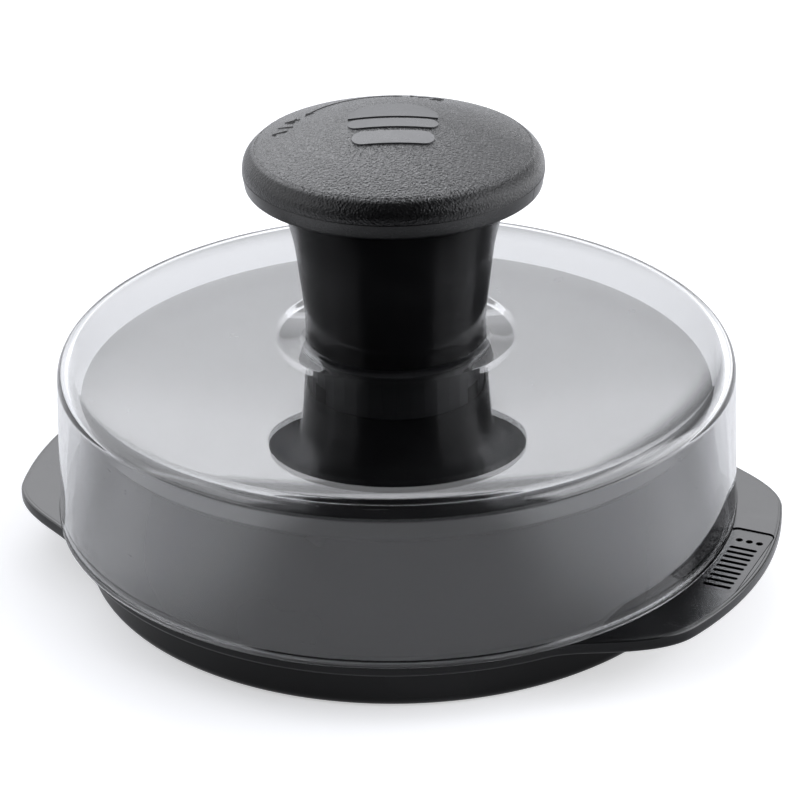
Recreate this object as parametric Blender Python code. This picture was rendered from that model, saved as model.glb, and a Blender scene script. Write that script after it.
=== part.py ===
"""Adjustable patty press: shallow base tray with two ears, clear cover, press drum
raised and lowered by a turn knob through a three-slot cam.

Metres, +Z up.  Origin: centre of the base tray, on the face it stands on.
"""
import math

import bmesh
import bpy
from mathutils import Matrix, Vector

MM = 0.001

# ---------------------------------------------------------------- dimensions
FLANGE_R = 70.9          # round rim of the base tray
FLANGE_TOP = 12.5
FLANGE_T = 3.0
EAR_R = 82.2             # outer arc of both ears
EAR_AXIS_DEG = -25.0     # direction of the first ear, the second is opposite
EAR_FULL_DEG = 19.5      # ear keeps its full reach up to here
EAR_END_DEG = 41.0       # ear has run out into the rim here
WALL_R = 66.8            # outside of the tray's wall
FOOT_ROUND = 3.7         # rounding between the wall and the standing ring
DISH_FLOOR = 5.9         # where the patty lies
LIP_R = 69.9             # register lip that centres the cover
LIP_TOP = 13.3

COVER_RIM_R = 72.5       # open lower end of the clear cover
COVER_BOTTOM = 12.8
COVER_WALL = 2.2
COVER_SHOULDER_R = 71.33
COVER_FILLET = 4.2
COVER_TOP = 51.6         # height of the crowned top on the axis
COVER_DOME_R = 2000.0    # almost flat in the middle
COVER_FALL = 1.8         # extra fall at 65 mm, growing with the sixth power
COLLAR_R = 25.6          # edge of the shallow dish around the neck
COLLAR_LIP = 0.1         # faint bead along that edge
COLLAR_FLOOR = 50.3
COVER_HOLE_R = 16.4

DRUM_BOTTOM = 13.6       # at the quarter-pound setting
DRUM_BOTTOM_R = 69.4
DRUM_TOP = 38.4
DRUM_TOP_R = 66.2
DRUM_WALL = 2.2
HUB_BORE_R = 18.7
HUB_R = 21.2
HUB_BOTTOM = 28.6
STROKE = 7.2             # drum travel, quarter to half pound
TURN_DEG = 90.0          # knob travel for that stroke

SLEEVE_R = 18.4
SLEEVE_BORE_R = 16.0
SLEEVE_BOTTOM = 27.5
SLEEVE_TOP = 48.75
SPINDLE_R = 15.6
SPINDLE_BORE_R = 12.8
SPINDLE_BOTTOM = 24.6
SPINDLE_TOP = 50.2
PIN_R = 1.95
PIN_Z = 32.0
PIN_INNER = 13.2
PIN_OUTER = 21.0
PIN_ANGLES = (90.0, 210.0, 330.0)

NECK_BOTTOM = 50.6
NECK_FLOOR = 55.9        # inside, the screw bears on it
HEAD_SEAM_Z = 88.4       # parting line at the head's widest ring
HEAD_R = 31.0
CREASE_R = 28.05         # where the crowned top meets the rolled rim
CREASE_Z = 92.8
APEX_Z = 98.7
GAP = 0.3                # running and assembly clearance


# ------------------------------------------------------------------- helpers
def clear_scene():
    for ob in list(bpy.data.objects):
        bpy.data.objects.remove(ob, do_unlink=True)


def material(name, color, rough, metal=0.0, alpha=1.0):
    mat = bpy.data.materials.new(name)
    mat.use_nodes = True
    bsdf = mat.node_tree.nodes["Principled BSDF"]
    bsdf.inputs["Base Color"].default_value = (*color, 1.0)
    bsdf.inputs["Roughness"].default_value = rough
    bsdf.inputs["Metallic"].default_value = metal
    bsdf.inputs["Alpha"].default_value = alpha
    if alpha < 1.0:
        bsdf.inputs["IOR"].default_value = 1.57
    mat.diffuse_color = (*color, alpha)
    return mat


def finish(bm, name, mat, smooth_deg=32.0, parent=None):
    bmesh.ops.remove_doubles(bm, verts=bm.verts, dist=1e-7)
    bmesh.ops.dissolve_degenerate(bm, edges=bm.edges, dist=1e-8)
    bmesh.ops.recalc_face_normals(bm, faces=bm.faces)
    mesh = bpy.data.meshes.new(name)
    bm.to_mesh(mesh)
    bm.free()
    mesh.shade_smooth()
    mesh.set_sharp_from_angle(angle=math.radians(smooth_deg))
    ob = bpy.data.objects.new(name, mesh)
    bpy.context.scene.collection.objects.link(ob)
    if mat:
        mesh.materials.append(mat)
    if parent:
        ob.parent = parent
        ob.matrix_parent_inverse = parent.matrix_world.inverted()
    return ob


def spun(profile, seg, start_deg=0.0):
    """Turn a closed (r, z) outline in mm about Z. Points on the axis become poles."""
    bm = bmesh.new()
    a = math.radians(start_deg)
    verts = [bm.verts.new((r * MM * math.cos(a), r * MM * math.sin(a), z * MM)) for r, z in profile]
    edges = []
    for i, v in enumerate(verts):
        w = verts[(i + 1) % len(verts)]
        if profile[i][0] < 1e-9 and profile[(i + 1) % len(verts)][0] < 1e-9:
            continue                                     # lies on the axis
        edges.append(bm.edges.new((v, w)))
    bmesh.ops.spin(bm, geom=verts + edges, cent=(0, 0, 0), axis=(0, 0, 1),
                   angle=math.tau, steps=seg, use_merge=False, use_duplicate=False)
    bmesh.ops.remove_doubles(bm, verts=bm.verts, dist=1e-6)
    return bm


def arc(cx, cz, r, a0, a1, n):
    """n+1 points of an arc in the (r, z) plane, angles in degrees from +r."""
    return [(cx + r * math.cos(math.radians(a0 + (a1 - a0) * i / n)),
             cz + r * math.sin(math.radians(a0 + (a1 - a0) * i / n))) for i in range(n + 1)]


def guide(ob):
    ob.hide_render = True
    ob.display_type = "WIRE"
    return ob


def boolean(ob, cutter, op="DIFFERENCE"):
    mod = ob.modifiers.new(cutter.name, "BOOLEAN")
    mod.operation = op
    mod.solver = "EXACT"
    mod.object = cutter
    return mod


def box(bm, lo, hi, rot=None):
    g = bmesh.ops.create_cube(bm, size=1.0)
    c = [(a + b) / 2 * MM for a, b in zip(lo, hi)]
    s = [(b - a) * MM for a, b in zip(lo, hi)]
    m = Matrix.Translation(Vector(c)) @ Matrix.Diagonal((*s, 1.0))
    bmesh.ops.transform(bm, matrix=(rot @ m) if rot else m, verts=g["verts"])


def rod(bm, r, length, at, turn, seg):
    g = bmesh.ops.create_cone(bm, cap_ends=True, segments=seg, radius1=r * MM, radius2=r * MM, depth=length * MM)
    bmesh.ops.transform(bm, matrix=Matrix.Translation(Vector(at) * MM) @ turn, verts=g["verts"])


def empty(name, z):
    e = bpy.data.objects.new(name, None)
    e.location = (0, 0, z * MM)
    e.empty_display_size = 0.01
    bpy.context.scene.collection.objects.link(e)
    bpy.context.view_layer.update()
    return e


# --------------------------------------------------------------------- model
clear_scene()

base_black = material("base_black", (0.035, 0.036, 0.038), 0.55)
clear_plastic = material("clear_plastic", (0.93, 0.95, 0.96), 0.04, alpha=0.25)
drum_black = material("drum_black", (0.05, 0.05, 0.052), 0.6)
disc_black = material("disc_black", (0.05, 0.05, 0.052), 0.45)
neck_black = material("neck_black", (0.02, 0.02, 0.021), 0.3)
cap_black = material("cap_black", (0.045, 0.045, 0.047), 0.5)
cam_grey = material("cam_grey", (0.25, 0.25, 0.26), 0.4)
sleeve_black = material("sleeve_black", (0.03, 0.03, 0.031), 0.4)
washer_white = material("washer_white", (0.75, 0.75, 0.72), 0.45)
steel = material("steel", (0.6, 0.6, 0.6), 0.28, metal=1.0)

cover_lift = empty("cover_lift", COVER_BOTTOM)
press_travel = empty("press_travel", DRUM_BOTTOM)
knob_axis = empty("knob_axis", NECK_BOTTOM)
for child in (press_travel, knob_axis):
    child.parent = cover_lift
    child.matrix_parent_inverse = cover_lift.matrix_world.inverted()
bpy.context.view_layer.update()

# --- base tray: turned dish with a standing ring, two ears drawn out of its rim
U = FLANGE_TOP - FLANGE_T
tray_profile = (
    [(0, 3.5), (61.4, 3.5), (61.6, 0.0)] + arc(WALL_R - FOOT_ROUND, FOOT_ROUND, FOOT_ROUND, -90, 0, 4) + [(WALL_R + 0.3, U),
     (FLANGE_R - 0.4, U), (FLANGE_R, U + 0.5), (FLANGE_R, FLANGE_TOP - 0.5), (FLANGE_R - 0.4, FLANGE_TOP),
     (LIP_R, FLANGE_TOP), (LIP_R, LIP_TOP - 0.2), (LIP_R - 0.2, LIP_TOP), (66.4, LIP_TOP)]
    + arc(62.4, DISH_FLOOR + 2.8, 2.8, -10, -90, 3) + [(0, DISH_FLOOR)])


def ear_reach(phi_deg):
    """How far the rim is drawn out at this direction, in mm."""
    d = abs((phi_deg - EAR_AXIS_DEG + 90.0) % 180.0 - 90.0)
    t = min(max((d - EAR_FULL_DEG) / (EAR_END_DEG - EAR_FULL_DEG), 0.0), 1.0)
    return (EAR_R - FLANGE_R) * (1.0 - t * t * (3.0 - 2.0 * t))


bm = spun(tray_profile, 84)
for v in bm.verts:
    r = math.hypot(v.co.x, v.co.y)
    if r > (FLANGE_R - 0.75) * MM and v.co.z > (U - 0.1) * MM:
        k = (r + ear_reach(math.degrees(math.atan2(v.co.y, v.co.x))) * MM) / r
        v.co.x *= k
        v.co.y *= k
finish(bm, "base_tray", base_black)

# --- clear cover: drafted wall, rounded shoulder, crowned top, shallow dish around the neck
fr = COVER_SHOULDER_R - COVER_FILLET


def dome(r):
    return COVER_TOP - r * r / (2 * COVER_DOME_R) - COVER_FALL * (r / 65.0) ** 6


def fall_deg(r):
    return math.degrees(math.atan(r / COVER_DOME_R + 6 * COVER_FALL / 65.0 * (r / 65.0) ** 5))


# the shoulder arc leaves the top where both have the same slope
join_r = fr
for _ in range(30):
    join_r = fr + COVER_FILLET * math.sin(math.radians(fall_deg(join_r)))
tilt = fall_deg(join_r)
shoulder_z = dome(join_r) - COVER_FILLET * math.cos(math.radians(tilt))


ri = COVER_FILLET - COVER_WALL
cover_profile = (
    [(COVER_RIM_R - COVER_WALL, COVER_BOTTOM), (COVER_RIM_R - 0.4, COVER_BOTTOM), (COVER_RIM_R, COVER_BOTTOM + 0.4)]
    + arc(fr, shoulder_z, COVER_FILLET, 0, 90 - tilt, 4)
    + [(r, dome(r)) for r in (65.0, 61.0, 56.0, 49.0, 40.0)] + [(COLLAR_R + 0.6, dome(COLLAR_R + 0.6)), (COLLAR_R, dome(COLLAR_R) + COLLAR_LIP),
       (COLLAR_R - 0.6, dome(COLLAR_R) - 0.05), (19.8, COLLAR_FLOOR + 0.05), (19.2, COLLAR_FLOOR),
       (COVER_HOLE_R, COLLAR_FLOOR), (COVER_HOLE_R, dome(20.0) - COVER_WALL)]
    + [(r, dome(r) - COVER_WALL) for r in (40.0, 49.0, 56.0, 61.0, 65.0)]
    + arc(fr, shoulder_z, ri, 90 - tilt, 0, 3))
finish(spun(cover_profile, 64), "clear_cover", clear_plastic, parent=cover_lift)

# --- guide sleeve welded under the cover: three upright slots keep the drum from turning
sleeve_profile = [(SLEEVE_BORE_R, SLEEVE_BOTTOM), (SLEEVE_R, SLEEVE_BOTTOM), (SLEEVE_R, SLEEVE_TOP - 1.5),
                  (20.5, SLEEVE_TOP - 1.5), (20.5, SLEEVE_TOP), (SLEEVE_BORE_R, SLEEVE_TOP)]
sleeve = finish(spun(sleeve_profile, 40), "guide_sleeve", sleeve_black, parent=cover_lift)
bm = bmesh.new()
for a in PIN_ANGLES:
    box(bm, (14.0, -2.3, PIN_Z - 2.35), (20.0, 2.3, PIN_Z + STROKE + 2.35), Matrix.Rotation(math.radians(a), 4, "Z"))
boolean(sleeve, guide(finish(bm, "cut_sleeve_slots", None)))

# --- press drum: inverted cup with a central hub that slides on the sleeve
rs = DRUM_BOTTOM_R - DRUM_WALL - 0.1
drum_profile = [
    (HUB_BORE_R, DRUM_TOP), (HUB_BORE_R, HUB_BOTTOM), (HUB_R, HUB_BOTTOM), (HUB_R, DRUM_TOP - DRUM_WALL),
    (DRUM_TOP_R - DRUM_WALL - 0.9, DRUM_TOP - DRUM_WALL),
    (DRUM_TOP_R - DRUM_WALL, DRUM_TOP - DRUM_WALL - 0.9), (rs, DRUM_BOTTOM),
    (DRUM_BOTTOM_R - 0.3, DRUM_BOTTOM), (DRUM_BOTTOM_R, DRUM_BOTTOM + 0.3), (DRUM_TOP_R, DRUM_TOP - 0.4),
    (DRUM_TOP_R - 0.4, DRUM_TOP)]
drum = finish(spun(drum_profile, 64), "press_drum", drum_black, parent=press_travel)
bm = bmesh.new()
for a in PIN_ANGLES:
    t = Matrix.Rotation(math.radians(a), 4, "Z") @ Matrix.Rotation(math.radians(90), 4, "Y")
    d = Vector((math.cos(math.radians(a)), math.sin(math.radians(a)), 0))
    rod(bm, PIN_R + GAP, 6.0, d * 20.0 + Vector((0, 0, PIN_Z)), t, 20)
boolean(drum, guide(finish(bm, "cut_hub_pin_holes", None)))

# --- press disc: closes the drum from below, its underside is the pressing face
disc_profile = [(0, DRUM_BOTTOM), (66.3, DRUM_BOTTOM), (66.7, DRUM_BOTTOM + 0.4), (65.85, 19.6), (65.5, 20.0),
                (63.9, 20.0), (63.7, 16.4), (63.4, 16.1), (0, 16.1)]
finish(spun(disc_profile, 56), "press_disc", disc_black, parent=press_travel)

# --- three cam pins held in the hub
for i, a in enumerate(PIN_ANGLES, 1):
    bm = bmesh.new()
    t = Matrix.Rotation(math.radians(a), 4, "Z") @ Matrix.Rotation(math.radians(90), 4, "Y")
    d = Vector((math.cos(math.radians(a)), math.sin(math.radians(a)), 0))
    rod(bm, PIN_R, PIN_OUTER - PIN_INNER, d * ((PIN_OUTER + PIN_INNER) / 2) + Vector((0, 0, PIN_Z)), t, 20)
    finish(bm, "cam_pin_%d" % i, steel, parent=press_travel)

# --- cam spindle: turns with the knob, three helical slots lift the pins
spindle_profile = [
    (SPINDLE_BORE_R, SPINDLE_BOTTOM), (18.2, SPINDLE_BOTTOM), (18.2, SPINDLE_BOTTOM + 1.8), (SPINDLE_R, SPINDLE_BOTTOM + 1.8),
    (SPINDLE_R, SPINDLE_TOP), (0, SPINDLE_TOP), (0, SPINDLE_TOP - 3.0), (SPINDLE_BORE_R, SPINDLE_TOP - 3.0)]
spindle = finish(spun(spindle_profile, 40), "cam_spindle", cam_grey, parent=knob_axis)
bm = bmesh.new()
box(bm, (-7.0, -7.0, SPINDLE_TOP - 1.0), (7.0, 7.0, SPINDLE_TOP + 2.6))
boolean(spindle, guide(finish(bm, "add_drive_square", None)), "UNION")
bm = bmesh.new()
rod(bm, 2.15, 12.0, Vector((0, 0, SPINDLE_TOP)), Matrix.Identity(4), 24)
boolean(spindle, guide(finish(bm, "cut_spindle_screw_hole", None)))

bm = bmesh.new()
lead = STROKE / TURN_DEG
half = (PIN_R + 0.4) / math.cos(math.atan(STROKE / (14.4 * math.radians(TURN_DEG))))
extra = math.degrees((PIN_R + 0.45) / 14.4)
steps = 14
for a in PIN_ANGLES:
    prev = None
    first = None
    for i in range(steps + 1):
        turn = -extra + (TURN_DEG + 2 * extra) * i / steps
        z = PIN_Z + lead * turn
        ang = math.radians(a - turn)
        ring = [bm.verts.new((r * MM * math.cos(ang), r * MM * math.sin(ang), (z + s * half) * MM))
                for r, s in ((11.5, -1), (17.0, -1), (17.0, 1), (11.5, 1))]
        if prev:
            for k in range(4):
                bm.faces.new((prev[k], prev[(k + 1) % 4], ring[(k + 1) % 4], ring[k]))
        else:
            first = ring
        prev = ring
    bm.faces.new(first)
    bm.faces.new(prev[::-1])
boolean(spindle, guide(finish(bm, "cut_cam_slots", None)))

# --- thrust washer between the spindle's flange and the sleeve
finish(spun([(15.9, 26.7), (18.2, 26.7), (18.2, 27.2), (15.9, 27.2)], 40), "thrust_washer", washer_white, parent=knob_axis)

# --- knob neck: hollow waisted grip, flange at the top, square socket for the spindle
neck_outer = [(18.55, NECK_BOTTOM), (18.95, NECK_BOTTOM + 0.4), (18.85, 54.0), (19.2, 58.2), (19.7, 62.8), (20.2, 67.3),
              (20.8, 72.0), (21.75, 76.0), (22.9, 80.0), (24.0, 83.3), (25.4, 84.7)]
neck_profile = ([(0, NECK_BOTTOM)] + neck_outer
                + [(29.9, 85.1), (30.6, 85.7), (30.85, HEAD_SEAM_Z), (20.9, HEAD_SEAM_Z), (20.9, 83.0), (19.4, 76.5), (18.2, 71.0),
                   (17.3, 65.5), (16.6, NECK_FLOOR + 1.2), (15.4, NECK_FLOOR), (0, NECK_FLOOR)])
neck = finish(spun(neck_profile, 40), "knob_neck", neck_black, parent=knob_axis)
bm = bmesh.new()
box(bm, (-7.3, -7.3, NECK_BOTTOM - 2.0), (7.3, 7.3, SPINDLE_TOP + 2.9))
boolean(neck, guide(finish(bm, "cut_drive_socket", None)))
bm = bmesh.new()
rod(bm, 2.4, 12.0, Vector((0, 0, NECK_FLOOR)), Matrix.Identity(4), 24)
boolean(neck, guide(finish(bm, "cut_neck_screw_hole", None)))

# --- screw and washer that clamp neck and spindle together through the cover
F = NECK_FLOOR
finish(spun([(2.4, F + 0.3), (5.5, F + 0.3), (5.5, F + 1.1), (2.4, F + 1.1)], 32), "knob_washer", steel, parent=knob_axis)
screw = finish(spun([(0, F - 7.6), (1.3, F - 7.6), (1.8, F - 6.9), (1.8, F + 1.4), (4.2, F + 1.4), (4.2, F + 3.0), (3.4, F + 4.0),
                     (0, F + 4.0)], 24), "knob_screw", steel, parent=knob_axis)
bm = bmesh.new()
box(bm, (-2.6, -0.5, F + 2.6), (2.6, 0.5, F + 6.0))
box(bm, (-0.5, -2.6, F + 2.4), (0.5, 2.6, F + 6.2))
cross = guide(finish(bm, "cut_cross_recess", None))
boolean(screw, cross).use_self = True

# --- knob cap: crowned shell with a rolled rim and a spigot that snaps into the neck
dome_r = (CREASE_R ** 2 + (APEX_Z - CREASE_Z) ** 2) / (2 * (APEX_Z - CREASE_Z))


def crown(r, drop=0.0):
    return APEX_Z - drop - (dome_r - math.sqrt(dome_r ** 2 - r * r))


seam = HEAD_SEAM_Z + GAP
roll = [(CREASE_R + (HEAD_R - CREASE_R) * math.sin(math.radians(a)),
         seam + 0.25 + (CREASE_Z - seam - 0.25) * math.cos(math.radians(a))) for a in (0, 30, 60, 90)]
cap_profile = ([(0, APEX_Z)] + [(r, crown(r)) for r in (9.5, 19.0)] + roll + [(HEAD_R - 0.2, seam), (28.4, seam)]
               + [(27.2, seam + 1.2), (24.0, crown(24.0, 2.6)), (20.6, crown(20.6, 2.9)), (20.6, 84.0), (20.3, 83.6), (18.6, 83.6), (18.6, crown(18.6, 2.9)),
                  (12.0, crown(12.0, 2.6)), (0, crown(0, 2.6))])
finish(spun(cap_profile, 44), "knob_cap", cap_black, parent=knob_axis)
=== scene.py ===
"""Round press with a clear cover, a black base tray and a turning knob.

It stands upright on the floor at z = 0, its axis on +Z. The camera looks from the front (-Y).
Sizes are in mm unless a comment says otherwise, and MM turns them into metres.
"""
import math

import bmesh
import bpy
import numpy as np
from mathutils import Matrix, Vector


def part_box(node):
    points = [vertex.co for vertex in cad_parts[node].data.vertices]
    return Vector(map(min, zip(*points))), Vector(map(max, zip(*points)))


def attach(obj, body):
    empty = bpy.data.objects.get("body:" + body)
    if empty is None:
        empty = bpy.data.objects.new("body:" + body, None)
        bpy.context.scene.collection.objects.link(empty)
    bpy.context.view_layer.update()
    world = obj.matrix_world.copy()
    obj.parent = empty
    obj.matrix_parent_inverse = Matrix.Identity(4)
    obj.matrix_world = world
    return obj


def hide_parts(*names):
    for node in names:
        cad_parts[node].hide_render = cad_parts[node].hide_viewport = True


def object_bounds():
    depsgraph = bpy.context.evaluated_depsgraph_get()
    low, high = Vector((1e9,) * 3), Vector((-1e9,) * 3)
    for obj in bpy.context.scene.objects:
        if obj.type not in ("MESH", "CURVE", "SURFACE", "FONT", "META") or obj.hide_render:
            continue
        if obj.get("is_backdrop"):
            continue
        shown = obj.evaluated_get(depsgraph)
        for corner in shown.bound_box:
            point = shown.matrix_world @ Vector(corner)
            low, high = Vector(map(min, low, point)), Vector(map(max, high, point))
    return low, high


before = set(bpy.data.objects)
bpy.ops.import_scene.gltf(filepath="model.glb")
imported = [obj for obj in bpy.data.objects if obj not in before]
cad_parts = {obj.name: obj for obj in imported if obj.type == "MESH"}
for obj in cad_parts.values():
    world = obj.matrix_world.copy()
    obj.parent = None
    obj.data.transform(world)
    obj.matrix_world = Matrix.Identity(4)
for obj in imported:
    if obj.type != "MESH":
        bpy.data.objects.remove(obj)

MM = 0.001
CAD_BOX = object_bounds()


# ------------------------------------------------------------------ sizes read from the frame
def span(node):
    low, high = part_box(node)
    return np.array(low) / MM, np.array(high) / MM


LIP_TOP = span("base_tray")[1][2]
APEX_Z = span("knob_cap")[1][2]
CAP_R = span("knob_cap")[1][0]
NECK_Z0 = span("knob_neck")[0][2]
SEAM_Z = span("knob_neck")[1][2]           # where the cap meets the neck
COVER_Z0 = span("clear_cover")[0][2]
RIM_R = span("clear_cover")[1][0]
DRUM_R = span("press_drum")[1][0]
DRUM_Z0 = span("press_drum")[0][2]
DRUM_TOP = span("press_drum")[1][2] + 0.2
DISC_R = span("press_disc")[1][0]
DISC_TOP = span("press_disc")[1][2]
FLANGE_TOP = LIP_TOP - 0.8


# ------------------------------------------------------------------ outlines
def fillet(points, steps=6):
    """Closed outline of (r, z[, radius]) with its corners rounded; steps are per right angle."""
    out = []
    for i, point in enumerate(points):
        radius = point[2] if len(point) > 2 else 0.0
        corner = np.array(point[:2], float)
        if radius <= 0:
            out.append(tuple(corner))
            continue
        before = np.array(points[i - 1][:2], float) - corner
        after = np.array(points[(i + 1) % len(points)][:2], float) - corner
        len_before, len_after = np.linalg.norm(before), np.linalg.norm(after)
        before, after = before / len_before, after / len_after
        half = math.acos(max(-1.0, min(1.0, float(before @ after)))) / 2
        cut = min(radius / math.tan(half), len_before * 0.49, len_after * 0.49)
        radius = cut * math.tan(half)
        middle = (before + after) / np.linalg.norm(before + after)
        centre = corner + middle * (radius / math.sin(half))
        start, end = corner + before * cut - centre, corner + after * cut - centre
        angle0, angle1 = math.atan2(start[1], start[0]), math.atan2(end[1], end[0])
        turn = (angle1 - angle0 + math.pi) % (2 * math.pi) - math.pi
        count = max(2, int(round(steps * abs(turn) / (math.pi / 2) + 0.4)))
        for j in range(count + 1):
            angle = angle0 + turn * j / count
            out.append((centre[0] + radius * math.cos(angle), centre[1] + radius * math.sin(angle)))
    return out


def densify(points, step):
    """Adds points along the long straight runs of a closed outline."""
    out = []
    for i in range(len(points)):
        start = np.array(points[i], float)
        end = np.array(points[(i + 1) % len(points)], float)
        count = max(1, int(np.linalg.norm(end - start) // step))
        out += [tuple(start + (end - start) * j / count) for j in range(count)]
    return out


def smooth_line(points, step):
    """Catmull-Rom curve through the points."""
    pts = np.array(points)
    pts = np.vstack([2 * pts[0] - pts[1], pts, 2 * pts[-1] - pts[-2]])
    out = []
    for i in range(1, len(pts) - 2):
        back, here, ahead, far = pts[i - 1:i + 3]
        for t in np.arange(0, 1, step):
            out.append(tuple(0.5 * ((2 * here) + (-back + ahead) * t
                                    + (2 * back - 5 * here + 4 * ahead - far) * t * t
                                    + (-back + 3 * here - 3 * ahead + far) * t ** 3)))
    out.append(tuple(pts[-2]))
    return out


def rounded_rect(x0, x1, y0, y1, radius, steps=6):
    loop = []
    for x, y, start in ((x1 - radius, y1 - radius, 0), (x0 + radius, y1 - radius, 90),
                        (x0 + radius, y0 + radius, 180), (x1 - radius, y0 + radius, 270)):
        for j in range(steps + 1):
            angle = math.radians(start + 90 * j / steps)
            loop.append((x + radius * math.cos(angle), y + radius * math.sin(angle)))
    return loop


def circle(x, y, radius, count):
    return [(x + radius * math.cos(t), y + radius * math.sin(t))
            for t in np.linspace(0, math.tau, count + 1)[:-1]]


# ------------------------------------------------------------------ meshes
def link_object(name, mesh):
    ob = bpy.data.objects.new(name, mesh)
    bpy.context.scene.collection.objects.link(ob)
    return ob


def link_bmesh(name, bm):
    mesh = bpy.data.meshes.new(name)
    bm.to_mesh(mesh)
    bm.free()
    return link_object(name, mesh)


def shade(mesh, sharp):
    mesh.shade_smooth()
    mesh.set_sharp_from_angle(angle=math.radians(sharp))


def make(name, verts, faces, material=None, sharp=34.0):
    mesh = bpy.data.meshes.new(name)
    mesh.from_pydata([tuple(v) for v in verts], [], faces)
    mesh.validate()
    bm = bmesh.new()
    bm.from_mesh(mesh)
    bmesh.ops.remove_doubles(bm, verts=bm.verts, dist=1e-7)
    bmesh.ops.recalc_face_normals(bm, faces=bm.faces)
    bm.to_mesh(mesh)
    bm.free()
    shade(mesh, sharp)
    ob = link_object(name, mesh)
    if material:
        mesh.materials.append(material)
    return ob


def revolve(name, outline, segments, material=None, sharp=34.0, push=None):
    """Turns a closed outline about Z. push(i, angle) may move ring i outwards."""
    angles = [2 * math.pi * k / segments for k in range(segments)]
    verts, rings = [], []
    for i, (radius, z) in enumerate(outline):
        if radius < 1e-6:
            rings.append([len(verts)] * segments)
            verts.append((0, 0, z * MM))
            continue
        rings.append(range(len(verts), len(verts) + segments))
        for angle in angles:
            reach = (radius + (push(i, angle) if push else 0.0)) * MM
            verts.append((reach * math.cos(angle), reach * math.sin(angle), z * MM))
    faces = []
    for i, ring in enumerate(rings):
        j = (i + 1) % len(outline)
        after = rings[j]
        pole, pole_after = outline[i][0] < 1e-6, outline[j][0] < 1e-6
        if pole and pole_after:
            continue
        for k in range(segments):
            m = (k + 1) % segments
            if pole:
                faces.append((ring[0], after[m], after[k]))
            elif pole_after:
                faces.append((ring[k], ring[m], after[0]))
            else:
                faces.append((ring[k], ring[m], after[m], after[k]))
    return make(name, verts, faces, material, sharp)


def prism(name, loops, z0, z1):
    """Upright prisms over closed (x, y) loops, as one mesh."""
    bm = bmesh.new()
    for loop in loops:
        low = [bm.verts.new((x * MM, y * MM, z0 * MM)) for x, y in loop]
        high = [bm.verts.new((x * MM, y * MM, z1 * MM)) for x, y in loop]
        bm.faces.new(low[::-1])
        bm.faces.new(high)
        for k in range(len(loop)):
            m = (k + 1) % len(loop)
            bm.faces.new((low[k], low[m], high[m], high[k]))
    bmesh.ops.recalc_face_normals(bm, faces=bm.faces)
    return link_bmesh(name, bm)


def apply_boolean(ob, cutter, operation="DIFFERENCE", sharp=34.0, self_hit=False):
    """Runs one exact Boolean, keeps its result as the mesh and removes the cutter."""
    mod = ob.modifiers.new("cut", "BOOLEAN")
    mod.operation = operation
    mod.solver = "EXACT"
    mod.use_self = self_hit
    mod.object = cutter
    bpy.context.view_layer.update()
    depsgraph = bpy.context.evaluated_depsgraph_get()
    mesh = bpy.data.meshes.new_from_object(ob.evaluated_get(depsgraph))
    ob.modifiers.clear()
    ob.data = mesh
    bpy.data.objects.remove(cutter, do_unlink=True)
    shade(mesh, sharp)
    return ob


def place(ob, body, slot, *nodes):
    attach(ob, body)
    if nodes:
        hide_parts(*nodes)


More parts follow.
